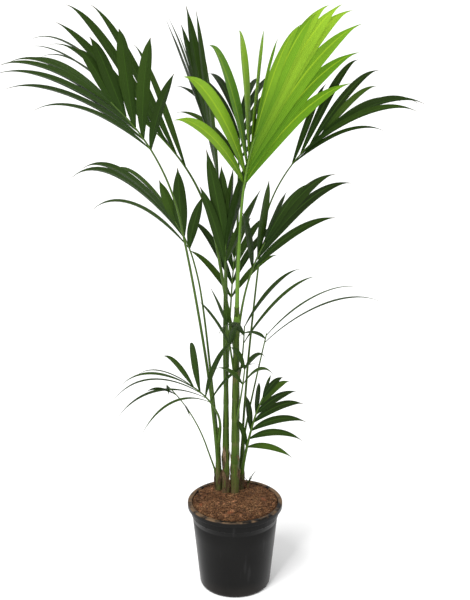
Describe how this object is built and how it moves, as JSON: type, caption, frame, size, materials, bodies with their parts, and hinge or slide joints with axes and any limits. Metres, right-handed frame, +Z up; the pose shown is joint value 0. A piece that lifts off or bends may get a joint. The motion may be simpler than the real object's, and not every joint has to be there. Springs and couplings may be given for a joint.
{
  "type": "potted palm",
  "caption": "Tall feather-leaved palm with arching fronds of long leaflets, several seedlings growing together from bark-topped compost in a round black plastic nursery pot.",
  "frame": {"origin": "centre of the pot's underside, where it rests", "axes": "+Z up along the pot's axis and the plant's height; -Y is the side that the brightest young frond faces, +X to the right of it"},
  "size_m": [0.9469, 0.7634, 1.461],
  "materials": {
    "pot_plastic": "satin",
    "soil": "matte",
    "bark": "matte",
    "stem": "satin",
    "leaf": "satin",
    "young_leaf": "satin"
  },
  "bodies": {
    "root": {"pot": "pot_plastic", "root_ball": "soil", "stem_main": "stem", "stem_second": "stem", "stem_left": "stem", "stem_young": "stem", "sprout": "stem", "bark_chip_1": "bark", "bark_chip_2": "bark", "bark_chip_3": "bark", "bark_chip_4": "bark", "bark_chip_5": "bark", "bark_chip_6": "bark", "bark_chip_7": "bark", "bark_chip_8": "bark", "frond_left_low": "leaf", "frond_left_high": "leaf", "frond_centre": "leaf", "frond_bright": "young_leaf", "frond_right": "leaf", "frond_middle_left": "leaf", "frond_middle_centre": "leaf", "frond_middle_right": "leaf", "frond_small_right": "leaf", "frond_small_left": "leaf", "frond_low_right": "leaf", "frond_folded": "leaf", "frond_tuft_left": "leaf", "frond_thin_left": "leaf", "frond_tuft_right": "leaf", "frond_back_high": "leaf", "frond_back_low": "leaf"}
  },
  "joints": []
}
